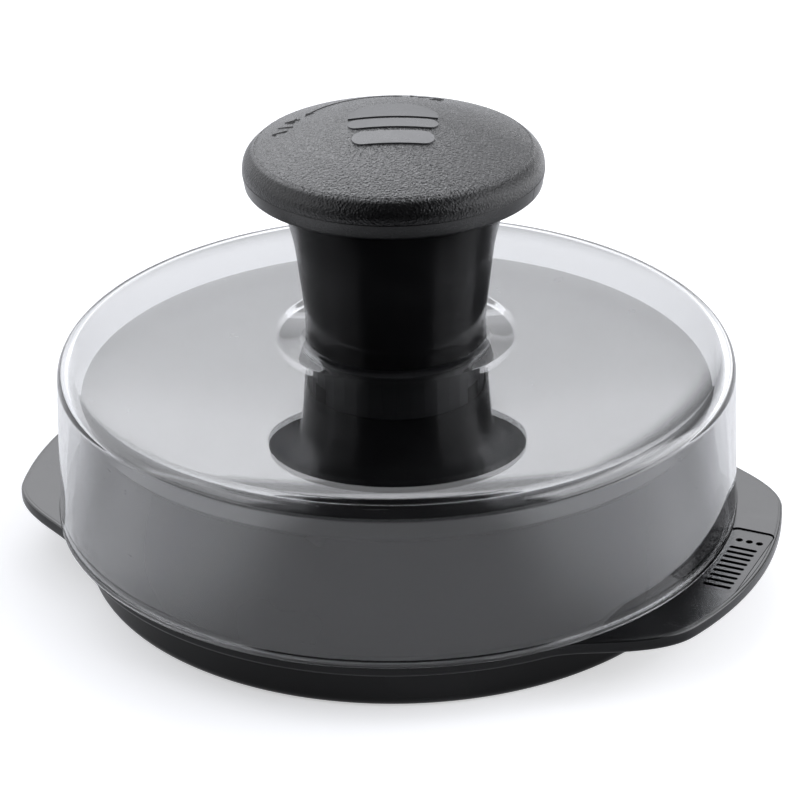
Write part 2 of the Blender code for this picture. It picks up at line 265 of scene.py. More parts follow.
# ------------------------------------------------------------------ shader helpers
class Shader:
    """Builds the node tree of a material or world. Inputs take a value or a socket."""

    def __init__(self, owner):
        owner.use_nodes = True
        self.tree = owner.node_tree
        self.tree.nodes.clear()

    def put(self, socket, value):
        if hasattr(value, "links"):
            self.tree.links.new(value, socket)
        elif value is not None:
            socket.default_value = value

    def fill(self, node, inputs):
        for name, value in inputs.items():
            self.put(node.inputs[name], value)

    def node(self, kind, inputs=None, **settings):
        node = self.tree.nodes.new(kind)
        for name, value in settings.items():
            setattr(node, name, value)
        self.fill(node, inputs or {})
        return node

    def finish(self, surface, kind="ShaderNodeOutputMaterial"):
        self.put(self.node(kind).inputs[0], surface)

    def coords(self):
        return self.node("ShaderNodeTexCoord").outputs["Object"]

    def axes(self, vector):
        return self.node("ShaderNodeSeparateXYZ", {"Vector": vector}).outputs

    def light_path(self):
        return self.node("ShaderNodeLightPath").outputs

    def stretch(self, coord, scale, turn=0.0):
        inputs = {"Vector": coord, "Scale": scale, "Rotation": (0.0, 0.0, turn)}
        return self.node("ShaderNodeMapping", inputs).outputs[0]

    def math(self, operation, first, second=None, clamp=False):
        node = self.node("ShaderNodeMath", operation=operation, use_clamp=clamp)
        for socket, value in zip(node.inputs, (first, second)):
            self.put(socket, value)
        return node.outputs[0]

    def mul(self, first, second):
        return self.math("MULTIPLY", first, second)

    def add(self, first, second):
        return self.math("ADD", first, second)

    def less(self, first, second):
        return self.math("LESS_THAN", first, second)

    def more(self, first, second):
        return self.math("GREATER_THAN", first, second)

    def inverse(self, value):
        return self.math("SUBTRACT", 1.0, value)

    def ramp(self, value, span, to=(0.0, 1.0), kind="SMOOTHSTEP"):
        """Maps value from the span to the range `to`."""
        inputs = {"Value": value, "From Min": span[0], "From Max": span[1],
                  "To Min": to[0], "To Max": to[1]}
        return self.node("ShaderNodeMapRange", inputs, interpolation_type=kind).outputs["Result"]

    def noise(self, coord, scale, detail=2.0, rough=0.5, distort=0.0, output="Fac"):
        inputs = {"Vector": coord, "Scale": scale, "Detail": detail,
                  "Roughness": rough, "Distortion": distort}
        return self.node("ShaderNodeTexNoise", inputs).outputs[output]

    def mix(self, factor, first, second, blend="MIX"):
        node = self.node("ShaderNodeMix", data_type="RGBA", blend_type=blend)
        self.put(node.inputs["Factor"], factor)
        for socket, value in zip(node.inputs[6:8], (first, second)):
            self.put(socket, (*value, 1.0) if isinstance(value, tuple) else value)
        return node.outputs[2]

    def bump(self, height, distance, strength, normal=None):
        """distance is in metres."""
        inputs = {"Strength": strength, "Distance": distance, "Height": height, "Normal": normal}
        return self.node("ShaderNodeBump", inputs).outputs["Normal"]

    def weaken_trapped(self, light, path):
        """Light that has bounced about inside the clear wall comes out weaker."""
        bounced = self.mul(self.more(path["Glossy Depth"], 1.5),
                           self.less(path["Transmission Depth"], 2.5))
        trapped = self.mul(path["Is Transmission Ray"], bounced)
        return self.mul(light, self.inverse(self.mul(trapped, 0.6)))


def start_material(name):
    material = bpy.data.materials.new(name)
    net = Shader(material)
    return material, net, net.node("ShaderNodeBsdfPrincipled")


# ------------------------------------------------------------------ grains
# Each grain returns its surface normal and the roughness that it adds.
CROWN_EDGE_Z = 92.5       # the cap's look changes from rolled rim to crown about this height


def leather_grain(net, coord):
    shift = net.node("ShaderNodeVectorMath", operation="MULTIPLY_ADD")
    warp_size = (0.0007, 0.0007, 0.0007)   # metres
    for socket, value in zip(shift.inputs, (
            net.noise(coord, scale=900.0, output="Color"), warp_size, coord)):
        net.put(socket, value)
    warped = shift.outputs[0]
    cells = net.node("ShaderNodeTexVoronoi", feature="SMOOTH_F1")
    net.fill(cells, {"Vector": warped, "Scale": 2000.0, "Smoothness": 0.25})
    fold = net.ramp(net.noise(warped, scale=2600.0), (0.34, 0.66))
    relief = net.add(net.mul(cells.outputs["Distance"], -1.0), net.mul(fold, 0.28))
    # the grain is shallower on the rolled rim than on the crown
    edge_span = ((CROWN_EDGE_Z - 0.5) * MM, (CROWN_EDGE_Z + 0.5) * MM)
    depth = net.ramp(net.axes(coord)[2], edge_span, to=(0.45, 1.0))
    normal = net.bump(relief, distance=0.00019, strength=depth)
    fine = net.noise(coord, scale=6000.0, rough=0.6)
    normal = net.bump(fine, distance=0.000008, strength=0.7, normal=normal)
    return normal, net.ramp(relief, (-0.6, 0.2), to=(0.12, -0.02))


def spark_grain(net, coord):
    pits = net.ramp(net.noise(coord, scale=7000.0, rough=0.6), (0.3, 0.72))
    normal = net.bump(pits, distance=0.0000035, strength=0.6)
    return normal, net.ramp(pits, (0.0, 1.0), to=(-0.06, 0.05))


def streak_grain(net, coord):
    """Hardly any relief, with faint flow streaks round the part."""
    flat = net.stretch(coord, (1.0, 1.0, 16.0))
    streaks = net.noise(flat, scale=90.0, detail=3.0, rough=0.55)
    fine = net.noise(coord, scale=3000.0, detail=1.0)
    normal = net.bump(fine, distance=0.0000012, strength=0.5)
    return normal, net.ramp(streaks, (0.25, 0.75), to=(-0.02, 0.06))


def even_grain(scale, detail, distance, strength, tone):
    def grain(net, coord):
        height = net.noise(coord, scale=scale, detail=detail)
        normal = net.bump(height, distance=distance, strength=strength)
        return normal, net.ramp(height, (0.2, 0.8), to=(-tone, tone))
    return grain


satin_grain = even_grain(scale=5200.0, detail=1.0, distance=0.000003, strength=0.5, tone=0.05)
smooth_grain = even_grain(scale=900.0, detail=2.0, distance=0.000006, strength=0.4, tone=0.03)


# ------------------------------------------------------------------ plastic
# A finish paints light and shade: it changes the base colour and the specular level with place.
def crown_painted_light(net, coord, cloud, base, spec):
    """The crown is painted paler and glossier than the rolled rim, as painted light on the upward
    faces, and this painted sheen fades towards the back right.
    """
    place_x, place_y, place_z = net.axes(coord)
    crown_span = ((CROWN_EDGE_Z - 0.3) * MM, (CROWN_EDGE_Z + 0.5) * MM)
    on_crown = net.ramp(place_z, crown_span)
    on_crown = net.mul(on_crown, net.ramp(cloud, (0.3, 0.7), to=(0.85, 1.0)))
    # painted light: the crown's colour is made paler than the rim's
    base = net.mix(on_crown, base, (0.011, 0.0112, 0.012))
    across = net.add(place_x, net.mul(place_y, 0.8))
    # painted highlight: the crown's added sheen is strong at the front left and weak at the back
    # right
    painted_side_sheen = net.ramp(across, (-26.0 * MM, 26.0 * MM), to=(1.1, 0.3))
    return base, net.add(spec, net.mul(on_crown, painted_side_sheen))


def flange_painted_shade(net, coord, cloud, base, spec):
    """The side walls get a weaker sheen than the flat top faces: painted shade that darkens the
    walls.
    """
    top_span = ((FLANGE_TOP - 0.45) * MM, (FLANGE_TOP - 0.1) * MM)
    # painted shade: below the flange top the specular level drops to 0.19
    return base, net.ramp(net.axes(coord)[2], top_span, to=(0.19, spec))


def plastic(name, colour, rough, grain, wear=0.35, spec=0.5, tint=0.25, finish=None):
    """Moulded plastic. wear: strength of pale edges; tint: how far the colour varies."""
    material, net, bsdf = start_material(name)
    coord = net.coords()
    blotch = net.noise(coord, scale=30.0)
    cloud = net.noise(coord, scale=150.0, detail=3.0, rough=0.55)
    normal, tone = grain(net, coord)
    # worn, slightly polished edges
    edge = net.ramp(net.node("ShaderNodeNewGeometry").outputs["Pointiness"], (0.53, 0.62))
    edge = net.mul(edge, net.ramp(cloud, (0.35, 0.7), to=(0.3, 1.0)))
    light = tuple(min(1.0, c * (1 + tint) + 0.004) for c in colour)
    dark = tuple(c * (1 - tint * 0.7) for c in colour)
    worn = tuple(min(1.0, c * 2.2 + 0.02) for c in colour)
    base = net.mix(net.ramp(blotch, (0.3, 0.7)), dark, light)
    base = net.mix(net.mul(edge, wear), base, worn)
    # the finish paints light and shade into the colour and the sheen
    if finish:
        base, spec = finish(net, coord, cloud, base, spec)
    roughness = net.add(net.ramp(cloud, (0.25, 0.75), to=(rough - 0.025, rough + 0.03)), tone)
    roughness = net.math("SUBTRACT", roughness, net.mul(edge, 0.12), clamp=True)
    net.fill(bsdf, {"Base Color": base, "Roughness": roughness,
                    "Specular IOR Level": spec, "Normal": normal})
    net.finish(bsdf.outputs[0])
    return material


# ------------------------------------------------------------------ steel and clear plastic
def metal(name, colour, rough):
    material, net, bsdf = start_material(name)
    coord = net.coords()
    lines = net.noise(net.stretch(coord, (1, 1, 14)), scale=900.0, detail=3.0, rough=0.6)
    cloud = net.noise(coord, scale=160.0, detail=3.0)
    net.fill(bsdf, {
        "Metallic": 1.0,
        "Base Color": net.mix(cloud, tuple(c * 0.86 for c in colour), colour),
        "Roughness": net.ramp(lines, (0.2, 0.8), to=(rough - 0.07, rough + 0.1)),
        "Normal": net.bump(lines, distance=0.000008, strength=0.5)})
    net.finish(bsdf.outputs[0])
    return material


def clear(name, tint, ior):
    """Clear moulded plastic. Shadow and diffuse rays pass straight through it."""
    material, net, bsdf = start_material(name)
    coord = net.coords()
    # faint haze, hairline scratches and the waviness of the moulding
    turned = net.stretch(coord, (1.0, 9.0, 1.0), turn=0.6)
    scratch = net.noise(turned, scale=420.0, detail=5.0, rough=0.7, distort=0.4)
    scratch = net.ramp(scratch, (0.66, 0.74))
    haze = net.noise(coord, scale=45.0, detail=4.0, rough=0.6)
    haze = net.ramp(haze, (0.35, 0.75), to=(0.0, 0.012))
    wave = net.noise(coord, scale=22.0, detail=0.0, rough=0.4)
    net.fill(bsdf, {
        "Base Color": (*tint, 1.0), "IOR": ior, "Transmission Weight": 1.0,
        "Roughness": net.add(haze, net.mul(scratch, 0.012)),
        "Normal": net.bump(wave, distance=0.000008, strength=0.3)})
    through = net.node("ShaderNodeBsdfTransparent", {"Color": (0.9, 0.905, 0.91, 1.0)})
    path = net.light_path()
    # below this height the wall isn't mirrored in the black parts beside it
    mirror_z = 46.0 * MM
    near = net.mul(path["Is Glossy Ray"], net.less(path["Transmission Depth"], 0.5))
    near = net.mul(near, net.less(net.axes(coord)[2], mirror_z))
    past = net.math("MAXIMUM", path["Is Shadow Ray"], path["Is Diffuse Ray"])
    mix = net.node("ShaderNodeMixShader")
    for socket, value in zip(mix.inputs, (
            net.math("MAXIMUM", past, near), bsdf.outputs[0], through.outputs[0])):
        net.put(socket, value)
    net.finish(mix.outputs[0])
    return material


TRAY_MAT = plastic("tray_plastic", (0.003, 0.0031, 0.0034), rough=0.2, grain=spark_grain,
                   wear=0.2, spec=0.66, finish=flange_painted_shade)
DRUM_MAT = plastic("drum_plastic", (0.0025, 0.0025, 0.0027), rough=0.2, grain=streak_grain,
                   wear=0.1, spec=0.09)
DISC_MAT = plastic("disc_plastic", (0.02, 0.0205, 0.022), rough=0.42, grain=satin_grain)
NECK_MAT = plastic("neck_plastic", (0.003, 0.003, 0.0034), rough=0.2, grain=satin_grain,
                   wear=0.1, spec=0.26)
BAND_MAT = plastic("band_plastic", (0.0035, 0.0035, 0.0038), rough=0.3, grain=spark_grain,
                   wear=0.1, spec=0.28)
CAP_MAT = plastic("cap_plastic", (0.0025, 0.0025, 0.0028), rough=0.21, grain=leather_grain,
                  wear=0.1, spec=0.3, finish=crown_painted_light)
MARK_MAT = plastic("mark_plastic", (0.045, 0.0455, 0.048), rough=0.3, grain=smooth_grain,
                   wear=0.1, spec=0.6)
INK_MAT = plastic("mark_ink", (0.002, 0.002, 0.0022), rough=0.6, grain=smooth_grain,
                  wear=0.0, spec=0.12)
SLEEVE_MAT = plastic("sleeve_plastic", (0.014, 0.014, 0.015), rough=0.38, grain=satin_grain)
CAM_MAT = plastic("cam_plastic", (0.02, 0.0204, 0.0215), rough=0.36, grain=satin_grain, tint=0.1)
WASHER_MAT = plastic("washer_plastic", (0.62, 0.62, 0.58), rough=0.42, grain=satin_grain,
                     tint=0.05, wear=0.0)
STEEL_MAT = metal("stainless_steel", (0.62, 0.62, 0.61), rough=0.28)
CLEAR_MAT = clear("clear_san", tint=(0.982, 0.988, 0.998), ior=1.53)


# ------------------------------------------------------------------ base tray
FLANGE_R = 70.9
FLANGE_Z0 = FLANGE_TOP - 3.0
LIP_R = FLANGE_R - 1.0
TRAY_FLOOR_Z = 5.9
EAR_REACH = 11.3
EAR_AXIS = -25.0              # degrees from +X; the two ears face opposite ways
EAR_HALF, EAR_BLEND = 19.5, 21.5      # degrees at full reach, then fading back to the flange

# grip panel on the front right ear: u runs outwards along the ear, v across it
PANEL = (71.0, 80.6, -12.6, 14.2)     # u from, u to, v from, v to
GROOVE_W = 0.3
SLOT_U, SLOT_HALF = (73.0, 79.0), 0.52
SLOT_V0, SLOT_PITCH = -10.2, 2.05
DOT_U0, DOT_PITCH, DOT_V, DOT_R = 74.0, 2.2, 9.6, 0.75


def ear_reach(angle):
    away = abs((math.degrees(angle) - EAR_AXIS + 90.0) % 180.0 - 90.0)
    t = min(max((away - EAR_HALF) / EAR_BLEND, 0.0), 1.0)
    return EAR_REACH * (1.0 - t * t * (3.0 - 2.0 * t))


def ear_xy(loop):
    axis = math.radians(EAR_AXIS)
    along = np.array([math.cos(axis), math.sin(axis)])
    across = np.array([-math.sin(axis), math.cos(axis)])
    return [tuple(along * u + across * v) for u, v in loop]


def build_tray():
    outline = fillet([          # r, z, corner radius
        (0.0, 3.5), (61.4, 3.5, 0.6), (61.6, 0.0, 0.35), (66.8, 0.0, 3.7),
        (67.1, FLANGE_Z0, 0.7), (FLANGE_R, FLANGE_Z0, 1.1), (FLANGE_R, FLANGE_TOP, 0.55),
        (LIP_R, FLANGE_TOP, 0.25), (LIP_R, LIP_TOP, 0.25), (66.4, LIP_TOP, 0.3),
        (64.6, TRAY_FLOOR_Z, 2.8), (0.0, TRAY_FLOOR_Z)], 8)
    # only the rings round the flange edge are pushed out to form the ears
    on_edge = [r > FLANGE_R - 0.95 and FLANGE_Z0 - 0.1 < z < FLANGE_TOP + 0.1
               for r, z in outline]
    tray = revolve("tray", outline, 480, TRAY_MAT,
                   push=lambda i, angle: ear_reach(angle) if on_edge[i] else 0.0)

    # shallow recess with a fine groove round it
    u0, u1, v0, v1 = PANEL
    border = ear_xy(rounded_rect(u0, u1, v0, v1, 1.6))
    core = ear_xy(rounded_rect(u0 + GROOVE_W, u1 - GROOVE_W, v0 + GROOVE_W, v1 - GROOVE_W, 1.35))
    apply_boolean(tray, prism("panel_cut", [border], FLANGE_TOP - 0.2, FLANGE_TOP + 3.0))
    groove = prism("groove_tool", [border], FLANGE_TOP - 0.75, FLANGE_TOP + 2.0)
    apply_boolean(groove, prism("groove_core", [core], FLANGE_TOP - 1.5, FLANGE_TOP + 3.0))
    apply_boolean(tray, groove)
    # nine short slots and three round dimples
    cuts = []
    for k in range(9):
        v = SLOT_V0 + k * SLOT_PITCH
        cuts.append(ear_xy(rounded_rect(*SLOT_U, v - SLOT_HALF, v + SLOT_HALF, 0.5, 5)))
    for k in range(3):
        cuts.append(ear_xy(circle(DOT_U0 + DOT_PITCH * k, DOT_V, DOT_R, 20)))
    apply_boolean(tray, prism("slot_cut", cuts, FLANGE_TOP - 1.0, FLANGE_TOP + 3.0))
    place(tray, "base", "base_black", "base_tray")


build_tray()

# ------------------------------------------------------------------ clear cover
WALL = 2.2
BEAD = 0.18                   # fine bead round the open end
SHOULDER_R, SHOULDER_FILLET = 71.33, 4.2
DOME_Z, DOME_R = 51.6, 2000.0
DROP, DROP_R = 1.8, 65.0      # extra fall of the dome at this radius
COLLAR_R = 25.6
HOLE_R = 16.4
DISH_Z, DISH_R = 50.3, 19.4   # sunk ring round the hole


def dome(radius):
    """Almost flat in the middle, falling away faster towards the shoulder."""
    return DOME_Z - radius * radius / (2 * DOME_R) - DROP * (radius / DROP_R) ** 6


def dome_slope(radius):
    return math.atan(radius / DOME_R + 6 * DROP / DROP_R * (radius / DROP_R) ** 5)


def build_cover():
    # the shoulder arc leaves the top where both have the same slope
    centre_r = SHOULDER_R - SHOULDER_FILLET
    join_r = centre_r
    for _ in range(30):
        join_r = centre_r + SHOULDER_FILLET * math.sin(dome_slope(join_r))
    tilt = dome_slope(join_r)
    centre_z = dome(join_r) - SHOULDER_FILLET * math.cos(tilt)

    def shoulder(radius, angles):
        return [(centre_r + radius * math.cos(t), centre_z + radius * math.sin(t))
                for t in angles]

    inner_fillet = SHOULDER_FILLET - WALL
    arc_out = shoulder(SHOULDER_FILLET, np.linspace(0, math.pi / 2 - tilt, 44))
    arc_in = shoulder(inner_fillet, np.linspace(math.pi / 2 - tilt, 0, 36))
    rim = fillet([
        (RIM_R - WALL, COVER_Z0, 0.35), (RIM_R + BEAD, COVER_Z0, 0.22),
        (RIM_R + BEAD - 0.03, COVER_Z0 + 1.35, 0.2), (RIM_R - 0.05, COVER_Z0 + 1.75, 0.25),
        arc_out[0], arc_in[-1]], 5)
    rim = [p for p in rim if p[1] < COVER_Z0 + 3.0]
    top = [(r, dome(r)) for r in np.linspace(join_r, COLLAR_R + 0.75, 90)[1:]]
    collar_z = dome(COLLAR_R)
    collar = [(COLLAR_R + dr, collar_z + dz) for dr, dz in (     # offsets from the collar
        (0.45, 0.0), (0.2, 0.012), (0.0, 0.02), (-0.2, 0.015), (-0.42, -0.015),
        (-0.62, -0.05), (-0.9, -0.105))]
    dish = [(r, DISH_Z + 0.02 + (collar_z - 0.11 - DISH_Z)
             * ((r - DISH_R) / (COLLAR_R - 0.9 - DISH_R)) ** 1.12)
            for r in np.linspace(COLLAR_R - 1.2, 19.5, 12)]
    under_z = dome(20.0) - WALL
    bore = [(19.2, DISH_Z), (HOLE_R + 0.15, DISH_Z), (HOLE_R, DISH_Z - 0.15),
            (HOLE_R, under_z + 0.2), (HOLE_R + 0.2, under_z)]
    under = []
    for r in np.linspace(20.0, join_r, 100)[:-1]:
        slope = dome_slope(r)
        under.append((r - WALL * math.sin(slope), dome(r) - WALL * math.cos(slope)))
    inner_join = centre_r + inner_fillet * math.sin(tilt)
    under = [p for p in under if p[0] < inner_join - 0.05]
    outline = rim + arc_out + top + collar + dish + bore + under + arc_in
    cover = revolve("cover", outline, 288, CLEAR_MAT, sharp=50.0)
    place(cover, "cover", "clear_plastic", "clear_cover")


build_cover()

# ------------------------------------------------------------------ press drum
HUB_BORE, HUB_R, HUB_Z0 = 18.7, 21.2, 28.6
DRUM_TOP_R = 66.2
DRUM_WALL = 2.2
HUB_HOLE_R, HUB_HOLE_Z = 2.25, 32.0


def build_drum():
    under_z = DRUM_TOP - DRUM_WALL
    outline = fillet([          # r, z, corner radius; a hairline groove runs below the top edge
        (HUB_BORE, DRUM_TOP, 0.3), (HUB_BORE, HUB_Z0, 0.3), (HUB_R, HUB_Z0, 0.3),
        (HUB_R, under_z, 0.8), (DRUM_TOP_R - DRUM_WALL, under_z, 1.0),
        (DRUM_R - 2.3, DRUM_Z0, 0.2), (DRUM_R, DRUM_Z0, 0.4),
        (DRUM_TOP_R + 0.07, DRUM_TOP - 0.62), (DRUM_TOP_R - 0.14, DRUM_TOP - 0.56),
        (DRUM_TOP_R - 0.14, DRUM_TOP - 0.44), (DRUM_TOP_R + 0.04, DRUM_TOP - 0.38),
        (DRUM_TOP_R, DRUM_TOP, 0.2)])
    drum = revolve("drum", densify(outline, 4.0), 288, DRUM_MAT)
    # three round holes through the hub wall
    holes = bmesh.new()
    for degrees in (90.0, 210.0, 330.0):
        cylinder = bmesh.ops.create_cone(holes, cap_ends=True, segments=32, depth=6 * MM,
                                         radius1=HUB_HOLE_R * MM, radius2=HUB_HOLE_R * MM)
        matrix = (Matrix.Rotation(math.radians(degrees), 4, "Z")
                  @ Matrix.Translation(Vector((20.0, 0, HUB_HOLE_Z)) * MM)
                  @ Matrix.Rotation(math.radians(90), 4, "Y"))
        bmesh.ops.transform(holes, matrix=matrix, verts=cylinder["verts"])
    apply_boolean(drum, link_bmesh("hub_holes", holes))
    place(drum, "press", "drum_black", "press_drum")


build_drum()

# ------------------------------------------------------------------ press disc
RING_R0, RING_PITCH = 8.0, 8.6
RING_SHAPE = [                # shallow groove: offset from the ring's radius, height
    (-1.5, 0.0), (-0.9, 0.14), (-0.35, 0.4), (0.35, 0.4), (0.9, 0.14), (1.5, 0.0)]


def build_disc():
    face = [(0.0, DRUM_Z0)]
    for k in range(7):
        ring_r = RING_R0 + k * RING_PITCH
        face += [(ring_r + dr, DRUM_Z0 + dz) for dr, dz in RING_SHAPE]
    # the first point only steers the first corner's rounding and is left out
    edge = fillet([
        (0, DRUM_Z0 - 50), (DISC_R - 0.05, DRUM_Z0, 0.5), (DISC_R - 0.95, DISC_TOP, 0.3),
        (63.9, DISC_TOP, 0.3), (63.6, DRUM_Z0 + 2.5, 0.6), (0, DRUM_Z0 + 2.5)], 5)[1:]
    disc = revolve("disc", face + edge, 240, DISC_MAT)
    place(disc, "press", "disc_black", "press_disc")


build_disc()

# ------------------------------------------------------------------ knob neck
NECK_FLOOR_Z = NECK_Z0 + 5.3
NECK_SHARP = 38.0             # degrees
SOCKET_HALF = 7.3
SCREW_HOLE_R = 2.4
SLIT_ANGLE = -24.5            # degrees from +X
NECK_LINE = [                 # r, height above the neck's lower end
    (18.97, 0.55), (18.96, 1.4), (18.88, 3.2), (18.97, 5.4), (19.18, 7.6), (19.43, 9.9),
    (19.69, 12.2), (19.94, 14.4), (20.2, 16.7), (20.48, 19.0), (20.85, 21.6), (21.45, 24.4),
    (22.3, 27.7), (23.3, 31.0), (24.0, 32.8)]


def build_neck():
    foot = [(0.0, NECK_Z0), (18.0, NECK_Z0), (18.45, NECK_Z0 + 0.06), (18.8, NECK_Z0 + 0.26)]
    side = smooth_line([(r, NECK_Z0 + height) for r, height in NECK_LINE], 0.25)
    throat = [(24.35, 84.1), (24.9, 84.6), (25.8, 84.9), (27.0, 85.0)]
    band = fillet([(27.2, 85.02), (30.55, 85.25, 0.45), (31.05, SEAM_Z, 0.16),
                   (27.5, SEAM_Z)])[1:]
    inside = [(20.9, SEAM_Z), (20.9, 83.0), (19.4, 76.5), (18.2, 71.0), (17.3, 65.5),
              (16.6, NECK_FLOOR_Z + 1.2), (15.4, NECK_FLOOR_Z), (0.0, NECK_FLOOR_Z)]
    neck = revolve("neck", foot + side + throat + band + inside, 256, NECK_MAT,
                   sharp=NECK_SHARP)
    neck.data.materials.append(BAND_MAT)
    for face in neck.data.polygons:
        centre = face.center
        if centre.z > 85.2 * MM and math.hypot(centre.x, centre.y) > 27.2 * MM:
            face.material_index = 1

    # square socket from below, a screw hole through the floor and a fine slit in the band
    half = SOCKET_HALF
    square = [(-half, -half), (half, -half), (half, half), (-half, half)]
    hole = circle(0.0, 0.0, SCREW_HOLE_R, 32)
    turn = math.radians(SLIT_ANGLE)
    slit = [(x * math.cos(turn) - y * math.sin(turn), x * math.sin(turn) + y * math.cos(turn))
            for x, y in ((30.2, -0.1), (31.5, -0.1), (31.5, 0.1), (30.2, 0.1))]
    for name, loop, z0, z1 in (("socket", square, NECK_Z0 - 2.0, NECK_Z0 + 2.5),
                               ("screw_hole", hole, NECK_Z0 + 1.0, 60.0),
                               ("slit", slit, 85.4, SEAM_Z + 1.0)):
        apply_boolean(neck, prism(name, [loop], z0, z1), sharp=NECK_SHARP)
    place(neck, "knob", "neck_black", "knob_neck")


build_neck()

# ------------------------------------------------------------------ knob cap
CREASE_R, CREASE_Z = 28.3, 92.95      # between the crown and the rolled rim
CAP_Z0 = SEAM_Z + 0.02
CROWN_R = (CREASE_R ** 2 + (APEX_Z - CREASE_Z) ** 2) / (2 * (APEX_Z - CREASE_Z))


def crown(radius, depth=0.0):
    """Height of the spherical crown, or of a surface at a depth below it."""
    return APEX_Z - depth - (CROWN_R - math.sqrt(CROWN_R * CROWN_R - radius * radius))


def build_cap():
    top = [(0.0, APEX_Z)] + [(r, crown(r)) for r in np.linspace(0.7, CREASE_R - 0.5, 40)]
    crease = [(CREASE_R - 0.22, crown(CREASE_R - 0.22) - 0.01),
              (CREASE_R - 0.08, CREASE_Z - 0.1), (CREASE_R + 0.06, CREASE_Z - 0.11),
              (CREASE_R + 0.2, CREASE_Z - 0.06)]
    # the rolled rim is one Bezier curve
    start, pull_in, pull_out, end = (np.array(p) for p in (
        (CREASE_R + 0.3, CREASE_Z - 0.1), (CREASE_R + 1.25, CREASE_Z - 0.95),
        (CAP_R, 91.1), (CAP_R - 0.04, CAP_Z0 + 0.35)))
    roll = [tuple(start * (1 - t) ** 3 + 3 * pull_in * t * (1 - t) ** 2
                  + 3 * pull_out * t * t * (1 - t) + end * t ** 3)
            for t in np.linspace(0, 1, 22)]
    inside = [(CAP_R - 0.04, CAP_Z0 + 0.03), (CAP_R - 0.07, CAP_Z0), (28.4, CAP_Z0),
              (27.2, CAP_Z0 + 1.2), (24.0, crown(24.0, 2.6)), (20.6, crown(20.6, 2.9)),
              (20.6, 84.0), (20.3, 83.6), (18.6, 83.6), (18.6, crown(18.6, 2.9)),
              (12.0, crown(12.0, 2.6)), (0.0, crown(0.0, 2.6))]
    cap = revolve("cap", top + crease + roll + inside, 288, CAP_MAT, sharp=40.0)
    place(cap, "knob", "cap_black", "knob_cap")


build_cap()

# ------------------------------------------------------------------ marks on the crown
INK_LIFT, INK_SINK, INK_R = 0.07, 0.12, 27.4
MARK_LIFT, MARK_SINK, MARK_R = 0.3, 0.15, 18.0
STROKE_W = 0.5
FIGURE_H = 3.7
ARC_R, ARC_FROM, ARC_TO = 20.4, -58.0, 2.0
ARROW_TURN, ARROW_HALF = 5.6, 1.0     # length in degrees, half width in mm

# strokes in a box one unit high
ONE = [(-0.22, 0.28), (0.0, 0.5), (0.0, -0.5)]
TWO = [(-0.27, 0.25), (-0.2, 0.43), (0.0, 0.5), (0.2, 0.43), (0.27, 0.22), (0.2, 0.02),
       (-0.27, -0.5), (0.3, -0.5)]
FOUR = [(0.12, -0.5), (0.12, 0.5), (-0.3, -0.18), (0.34, -0.18)]
SLASH = [(-0.16, -0.55), (0.16, 0.55)]


def polar(azimuth, radius):
    """Azimuth in degrees from the back (+Y), clockwise seen from above."""
    angle = math.radians(azimuth)
    return np.array([radius * math.sin(angle), radius * math.cos(angle)])


def capsules(points, width=STROKE_W):
    """A round-ended loop for each run of a polyline."""
    ends = np.linspace(-math.pi / 2, math.pi / 2, 7)
    half = width / 2
    loops = []
    for (x0, y0), (x1, y1) in zip(points[:-1], points[1:]):
        angle = math.atan2(y1 - y0, x1 - x0)
        loops.append(
            [(x1 + half * math.cos(angle + t), y1 + half * math.sin(angle + t)) for t in ends]
            + [(x0 - half * math.cos(angle + t), y0 - half * math.sin(angle + t)) for t in ends])
    return loops


def fraction(lower, azimuth, radius):
    """Loops of the figure "1/lower", its top pointing outwards."""
    centre = polar(azimuth, radius)
    up = centre / np.linalg.norm(centre)
    right = np.array([up[1], -up[0]])
    loops = []
    for line, dx, dy in ((ONE, -0.8, 0.14), (SLASH, -0.12, 0.0), (lower, 0.72, -0.14)):
        loops += capsules([tuple(centre + right * (x + dx) * FIGURE_H
                                 + up * (y * 0.78 + dy) * FIGURE_H) for x, y in line])
    return loops


def arrowhead(azimuth, way):
    """Triangle on the arc; way is 1 for clockwise and -1 for anticlockwise."""
    tail = azimuth - way * ARROW_TURN
    back = polar(tail, ARC_R)
    out = polar(tail, ARC_R + ARROW_HALF) - back
    return [tuple(polar(azimuth, ARC_R)), tuple(back + out), tuple(back - out)]


def crown_shell(lift, sink, upper, lower):
    """Outline of a shell that follows the crown; upper and lower are its radii."""
    return ([(0.0, crown(0.0, -lift))] + [(r, crown(r, -lift)) for r in upper]
            + [(r, crown(r, sink)) for r in lower] + [(0.0, crown(0.0, sink))])


def paint(ob, material):
    ob.data.materials.clear()
    ob.data.materials.append(material)


def build_ink():
    shell = crown_shell(INK_LIFT, INK_SINK, np.linspace(1.0, INK_R, 60),
                        np.linspace(INK_R, 1.0, 40))
    figures = fraction(FOUR, -76.0, 22.6) + fraction(TWO, 19.5, 21.0)
    arc = capsules([tuple(polar(ARC_FROM + (ARC_TO - ARC_FROM) * k / 22, ARC_R))
                    for k in range(23)])
    arrows = [arrowhead(-62.5, -1), arrowhead(6.0, 1)]
    for name, loops in (("setting_figures", figures), ("setting_arc", arc),
                        ("setting_arrows", arrows)):
        ink = prism(name, loops, crown(INK_R) - 3.0, APEX_Z + 2.0)
        # the strokes overlap each other, so the Boolean has to allow for self-crossing
        apply_boolean(ink, revolve("ink_shell", shell, 96), "INTERSECT", self_hit=True)
        paint(ink, INK_MAT)
        place(ink, "knob", "cap_black")


